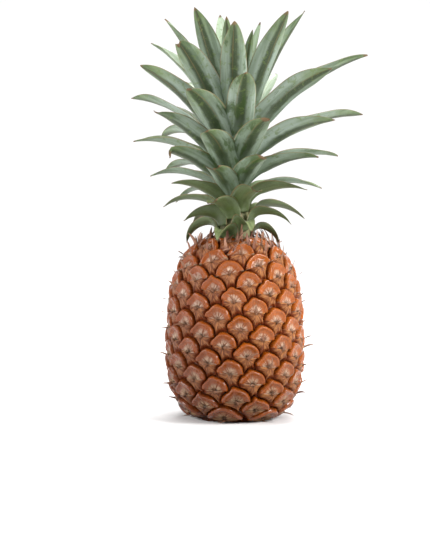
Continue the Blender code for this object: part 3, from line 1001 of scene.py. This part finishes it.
def rindMaterial():
    look = rindColors
    material, tree, shader = newMaterial("rindSkin")
    x, y, ringShare = splitVector(tree, readMap(tree, "eyeMap"))
    seed, zone, heightShare = splitVector(tree, readMap(tree, "eyeLook"))
    body = addNode(tree, "ShaderNodeTexCoord").outputs["Object"]
    sideX = splitVector(tree, body)[0]
    seedMm = times(tree, seed, 37.0)
    wobble = calc(tree, "SUBTRACT", noise(tree, joinVector(tree, x, y, seedMm), 4.0, 3.0), 0.5)
    ringWavy = plus(tree, ringShare, times(tree, wobble, 0.18))
    isUpper = spread(tree, zone, 0.7, 0.8)
    isBract = spread(tree, zone, 0.2, 0.3, 1.0, 0.0)
    # fibres that fan out of the middle of each eye
    angle = calc(tree, "ARCTAN2", x, y)
    fan = useGroup(tree, fibreStreaks, {
        "Map": joinVector(tree, times(tree, ringShare, 1.6), angle, seedMm),
        "Fineness": 9.0, "Stretch": 1.0, "Seed": 0.0})
    fine = fan.outputs["Fine"]
    broad = fan.outputs["Broad"]
    patches = useGroup(tree, blotches, {
        "Place": body, "Scale": 120.0, "Level": 0.50, "Softness": 0.12})
    grain = patches.outputs["Grain"]
    cloud = noise(tree, body, 330.0, 4.0, 0.65)
    # the warm side of the fruit, towards +x: partly riper colour, partly painted light that makes
    # that side brighter
    warmLitSide = spread(tree, sideX, -0.045, 0.045)
    # upper half: brown skin under a lilac-grey wax that is rubbed thin in places
    under = mixColor(tree, warmLitSide, *look["under"])
    wax = mixColor(tree, warmLitSide, *look["wax"])
    waxShare = spread(tree, plus(tree, times(tree, fine, 0.5), times(tree, cloud, 0.9)), 0.40, 0.95)
    flat = mixColor(tree, waxShare, under, wax)
    # pale streaks near the middle of each eye: partly whitish fibres, partly painted highlight
    paleStreakHighlight = spread(tree, plus(tree, fine, times(tree, cloud, 0.5)), 0.60, 0.95)
    inside = spread(tree, ringWavy, 0.20, 0.66, 1.0, 0.0)
    flat = cover(tree, flat, times(tree, paleStreakHighlight, inside), 0.85, look["paleStreakHighlight"])
    rimColor = mixColor(tree, warmLitSide, *look["rim"])
    rimColor = cover(tree, rimColor, broad, 0.5, look["rimDark"])
    rimMask = spread(tree, ringWavy, 0.46, 0.60)
    flat = mixColor(tree, rimMask, flat, rimColor)
    # lower half: the bract, salmon with pale and dark stripes, redder at its edges
    bractDark = mixColor(tree, warmLitSide, *look["bractDark"])
    bractPale = mixColor(tree, warmLitSide, *look["bractPale"])
    stripes = spread(tree, plus(tree, times(tree, fine, 0.75), times(tree, cloud, 0.5)), 0.45, 0.85)
    bract = mixColor(tree, stripes, bractDark, bractPale)
    bractEdge = spread(tree, ringWavy, 0.62, 0.90)
    bract = cover(tree, bract, bractEdge, 0.85, look["bractEdge"])
    seamEdge = mixColor(tree, cloud, *look["seam"])
    skin = mixColor(tree, isBract, seamEdge, bract)
    skin = mixColor(tree, isUpper, skin, flat)
    pit = spread(tree, plus(tree, ringShare, times(tree, wobble, 0.35)), 0.06, 0.24, 1.0, 0.0)
    skin = cover(tree, skin, pit, 0.8, look["pit"])
    # painted shade: the grooves between the eyes are darkened; near the crown they are also olive
    grooveShade = spread(tree, ringWavy, 0.935, 1.0)
    olive = spread(tree, heightShare, 0.80, 0.93)
    grooveShadeColor = mixColor(tree, olive, *look["grooveShade"])
    skin = mixColor(tree, grooveShade, skin, grooveShadeColor)
    skin = cover(tree, skin, patches.outputs["Mask"], 0.16, look["stain"])
    # painted shade: darker and greener low down and towards the left side, where shade falls on the
    # fruit
    paintedLowShade = spread(tree, plus(tree, heightShare, times(tree, sideX, 1.2)), 0.05, 0.66, 1.0, 0.0)
    lowShadedSkin = mixColor(tree, 1.0, skin, look["lowShadeTint"], "MULTIPLY")
    skin = mixColor(tree, paintedLowShade, skin, lowShadedSkin)
    polished = times(tree, rimMask, isUpper)
    rough = plus(tree, mixValue(tree, polished, *look["roughness"]), times(tree, waxShare, 0.10))
    bumpHeight = plus(tree, times(tree, fine, 0.6), times(tree, grain, 0.25))
    bumpHeight = plus(tree, bumpHeight, times(tree, cloud, 0.5))
    finishShader(tree, shader, skin, rough, bumpHeight, 0.7, 0.0006)
    shader.inputs["Specular IOR Level"].default_value = 0.22
    tree.links.new(mixValue(tree, polished, *look["coat"]), shader.inputs["Coat Weight"])
    shader.inputs["Coat Roughness"].default_value = 0.10
    return material


rind, eyeMiddles = buildRind(rindMaterial())
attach(rind, "root")
print("rind made", len(eyeMiddles), "eyes", len(rind.data.polygons), "faces")


drySettings = {
    "tipLength": (0.0060, 0.0115),
    "tipHalfWidth": 0.00130,
    "wispLength": (0.0020, 0.0045),
    "wispHalfWidth": 0.00028,
    "scrapLength": (0.0070, 0.0150),
    "scrapHalfWidth": 0.0016,
    "scraps": 96,
    "thickness": 0.00018,
    "steps": 11,
    "tipColors": ((0.720, 0.540, 0.360), (0.200, 0.080, 0.036), 1.0),       # pale, dark, share
    "scrapColors": ((0.500, 0.270, 0.170), (0.160, 0.050, 0.024), 0.6),     # of the dark
    "seed": 21,
}


class Ribbons:
    # thin tapering strips that follow the skin and lift off it
    def __init__(self):
        self.points = []
        self.faces = []
        self.maps = []

    def add(self, arc, turn, start, heading, lift, curl, spin, length, half, seed, taper=0.8):
        steps = drySettings["steps"]
        thick = drySettings["thickness"]
        place = np.array(start, float)
        base = len(self.points)
        move = length / (steps - 1)
        for step in range(steps):
            part = step / (steps - 1)
            width = half * (1 - part) ** taper + 0.00003
            sideX = math.cos(heading)
            sideY = -math.sin(heading)
            for side in (-1, 0, 1):
                for layer in (0, 1):
                    x = place[0] + sideX * side * width
                    y = place[1] + sideY * side * width
                    h = place[2] + (layer - 0.5) * thick * (1 - 0.6 * part)
                    h += 0.35 * width * abs(side)
                    spot = outline.local(arc, turn, x, y, h)
                    spot[2] = max(spot[2], floorClearance)
                    self.points.append(spot)
                    self.maps.append((part * length * 100, side * width * 100, seed))
            place = place + move * np.array([math.sin(heading) * math.cos(lift),
                                             math.cos(heading) * math.cos(lift), math.sin(lift)])
            lift += curl / steps
            heading += spin / steps
        for step in range(steps - 1):
            a = base + step * 6
            b = a + 6
            for side in (0, 2):
                self.faces.append((a + side, b + side, b + side + 2, a + side + 2))
                self.faces.append((a + side + 1, a + side + 3, b + side + 3, b + side + 1))
            self.faces.append((a, a + 1, b + 1, b))
            self.faces.append((a + 4, b + 4, b + 5, a + 5))
        for end in (base, base + (steps - 1) * 6):
            self.faces.append((end, end + 2, end + 3, end + 1))
            self.faces.append((end + 2, end + 4, end + 5, end + 3))

    def make(self, name, material):
        made = makeObject(name, self.points, self.faces, material)
        storeOn(made, "POINT", "leafMap", self.maps)
        faceOutward(made)
        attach(made, "root")
        return made


def dryMaterial(name, pale, dark, darkShare):
    material, tree, shader = newMaterial(name)
    place = readMap(tree, "leafMap")
    along, _, seed = splitVector(tree, place)
    streaks = useGroup(tree, fibreStreaks, {
        "Map": place, "Fineness": 40.0, "Stretch": 2.0, "Seed": seed})
    fine = streaks.outputs["Fine"]
    color = mixColor(tree, fine, dark, pale)
    color = mixColor(tree, spread(tree, seed, 0.0, 1.0, 0.0, darkShare), color, dark)
    base = spread(tree, along, 0.10, 0.70, 0.75, 0.0)
    color = mixColor(tree, base, color, dark)
    finishShader(tree, shader, color, mixValue(tree, fine, 0.5, 0.75), fine, 0.4, 0.0002)
    return material


def buildDryParts():
    look = drySettings
    rng = random.Random(look["seed"])
    tips = Ribbons()
    scraps = Ribbons()
    for arc, turn, centre in eyeMiddles:
        start = (centre[0] + rng.uniform(-0.0005, 0.0005), centre[1] - 0.0006, 0.0009)
        length = rng.uniform(*look["tipLength"])
        tips.add(arc, turn, start, rng.uniform(-0.9, 0.9), rng.uniform(0.60, 1.35),
                 rng.uniform(-1.2, 0.8), rng.uniform(-2.2, 2.2), length,
                 look["tipHalfWidth"] * rng.uniform(0.6, 1.1), rng.uniform(0.6, 1.0))
        for _ in range(rng.choice((2, 3, 4))):
            start = (centre[0] + rng.uniform(-0.0016, 0.0016),
                     centre[1] + rng.uniform(-0.0012, 0.0014), 0.0001)
            tips.add(arc, turn, start, rng.uniform(-1.8, 1.8), rng.uniform(0.2, 1.0),
                     rng.uniform(-1.5, 1.0), rng.uniform(-2.5, 2.5),
                     rng.uniform(*look["wispLength"]),
                     look["wispHalfWidth"] * rng.uniform(0.7, 1.5), rng.uniform(0.0, 0.4))
    rim = outline.length - look["scrapLength"][1] * 1.2
    for index in range(look["scraps"]):
        turn = 2 * math.pi * (index + rng.uniform(-0.4, 0.4)) / look["scraps"]
        arc = rim - rng.uniform(0.0, 0.022)
        scraps.add(arc, turn, (0.0, 0.0, -0.0006), rng.uniform(-0.9, 0.9), rng.uniform(0.2, 1.2),
                   rng.uniform(-1.5, 1.2), rng.uniform(-1.5, 1.5),
                   rng.uniform(*look["scrapLength"]),
                   look["scrapHalfWidth"] * rng.uniform(0.4, 1.3), rng.random(), 0.6)
    tips.make("dryBractTips", dryMaterial("dryBract", *look["tipColors"]))
    scraps.make("paperyScraps", dryMaterial("paperyScrap", *look["scrapColors"]))


buildDryParts()
print("dry parts made")


stemColors = {
    "fibres": ((0.080, 0.085, 0.030), (0.260, 0.250, 0.120)),
    "cut": ((0.300, 0.190, 0.090), (0.520, 0.400, 0.220)),
    "cutDots": (0.120, 0.070, 0.030),
}


def stemMaterial():
    material, tree, shader = newMaterial("crownStemSkin")
    body = addNode(tree, "ShaderNodeTexCoord").outputs["Object"]
    stretched = addNode(tree, "ShaderNodeMapping", {0: body, "Scale": (6.0, 6.0, 1.0)}).outputs[0]
    streaks = useGroup(tree, fibreStreaks, {
        "Map": stretched, "Fineness": 20.0, "Stretch": 20.0, "Seed": 0.0})
    fine = streaks.outputs["Fine"]
    color = mixColor(tree, fine, *stemColors["fibres"])
    finishShader(tree, shader, color, mixValue(tree, fine, 0.6, 0.75), fine, 0.4, 0.0005)
    return material


def stalkMaterial():
    material, tree, shader = newMaterial("cutStalkFace")
    body = addNode(tree, "ShaderNodeTexCoord").outputs["Object"]
    dots = addNode(tree, "ShaderNodeTexVoronoi", {"Vector": body, "Scale": 1100.0}).outputs[0]
    patches = useGroup(tree, blotches, {
        "Place": body, "Scale": 160.0, "Level": 0.5, "Softness": 0.15})
    patch = patches.outputs["Mask"]
    color = mixColor(tree, patch, *stemColors["cut"])
    color = mixColor(tree, spread(tree, dots, 0.1, 0.5, 0.7, 0.0), color, stemColors["cutDots"])
    finishShader(tree, shader, color, mixValue(tree, patch, 0.75, 0.9), dots, 0.5, 0.0004)
    return material


for nodeName, finish in (("crown_stem", stemMaterial()), ("cut_stalk", stalkMaterial())):
    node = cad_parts[nodeName]
    for index in range(len(node.material_slots)):
        node.material_slots[index].material = finish
print("stem and stalk finished")


studio = {
    "floorColor": (0.80, 0.80, 0.80),
    "skyStrength": 0.26,
    "fruitAim": (0.0, 0.0, 0.15),
    "paperAim": (0.0, 3.6, 0.3),
    "paper": (-8.0, 2.5, 2.0, 6.0, 8.0),    # near end, start of the bend, bend, top, half width
    "lights": (                             # name, place, size, power
        ("keyLight", (1.15, -0.60, 0.90), 0.55, 29.0),
        ("fillLight", (-1.15, -0.45, 0.65), 0.70, 16.0),
        ("frontLight", (0.25, -1.25, 1.35), 0.35, 4.0),
        ("rimLight", (0.3, 1.0, 0.9), 0.8, 8.0),
        ("paperLight", (0.0, 1.3, 3.2), 2.5, 130.0),
    ),
}
view = {
    "distance": 1.25,
    "eyeHeight": 0.205,
    "aimHeight": 0.1145,
    "aimSide": -0.0155,
    "lens": 108.0,
}


def placeAimed(made, place, target):
    made.location = place
    aim = Vector(target) - Vector(place)
    made.rotation_euler = aim.to_track_quat("-Z", "Y").to_euler()
    bpy.context.scene.collection.objects.link(made)


def buildStudio():
    material, _, shader = newMaterial("floorPaper")
    shader.inputs["Base Color"].default_value = (*studio["floorColor"], 1.0)
    shader.inputs["Roughness"].default_value = 0.9
    # one sheet of paper: flat under the fruit, then curving up far behind it
    near, bendStart, bend, top, side = studio["paper"]
    profile = [(near, 0.0), (bendStart, 0.0)]
    for step in range(1, 25):
        turn = math.pi / 2 * step / 24
        profile.append((bendStart + bend * math.sin(turn), bend - bend * math.cos(turn)))
    profile.append((bendStart + bend, top))
    points = [(x, y, z) for y, z in profile for x in (-side, side)]
    faces = [(2 * k, 2 * k + 1, 2 * k + 3, 2 * k + 2) for k in range(len(profile) - 1)]
    floor = makeObject("studioFloor", points, faces, material)
    world = bpy.data.worlds.new("studioSky")
    world.use_nodes = True
    world.node_tree.nodes["Background"].inputs[0].default_value = (1.0, 1.0, 1.0, 1.0)
    world.node_tree.nodes["Background"].inputs[1].default_value = studio["skyStrength"]
    bpy.context.scene.world = world
    for name, place, size, power in studio["lights"]:
        light = bpy.data.lights.new(name, "AREA")
        light.size = size
        light.energy = power
        made = bpy.data.objects.new(name, light)
        placeAimed(made, place, studio["paperAim" if name == "paperLight" else "fruitAim"])


def buildCamera():
    data = bpy.data.cameras.new("camera")
    data.lens = view["lens"]
    data.sensor_width = 36.0
    made = bpy.data.objects.new("camera", data)
    placeAimed(made, (0.0, -view["distance"], view["eyeHeight"]),
               (view["aimSide"], 0.0, view["aimHeight"]))
    bpy.context.scene.camera = made


buildStudio()
buildCamera()
bpy.context.scene.view_settings.view_transform = "Standard"
print("studio made")
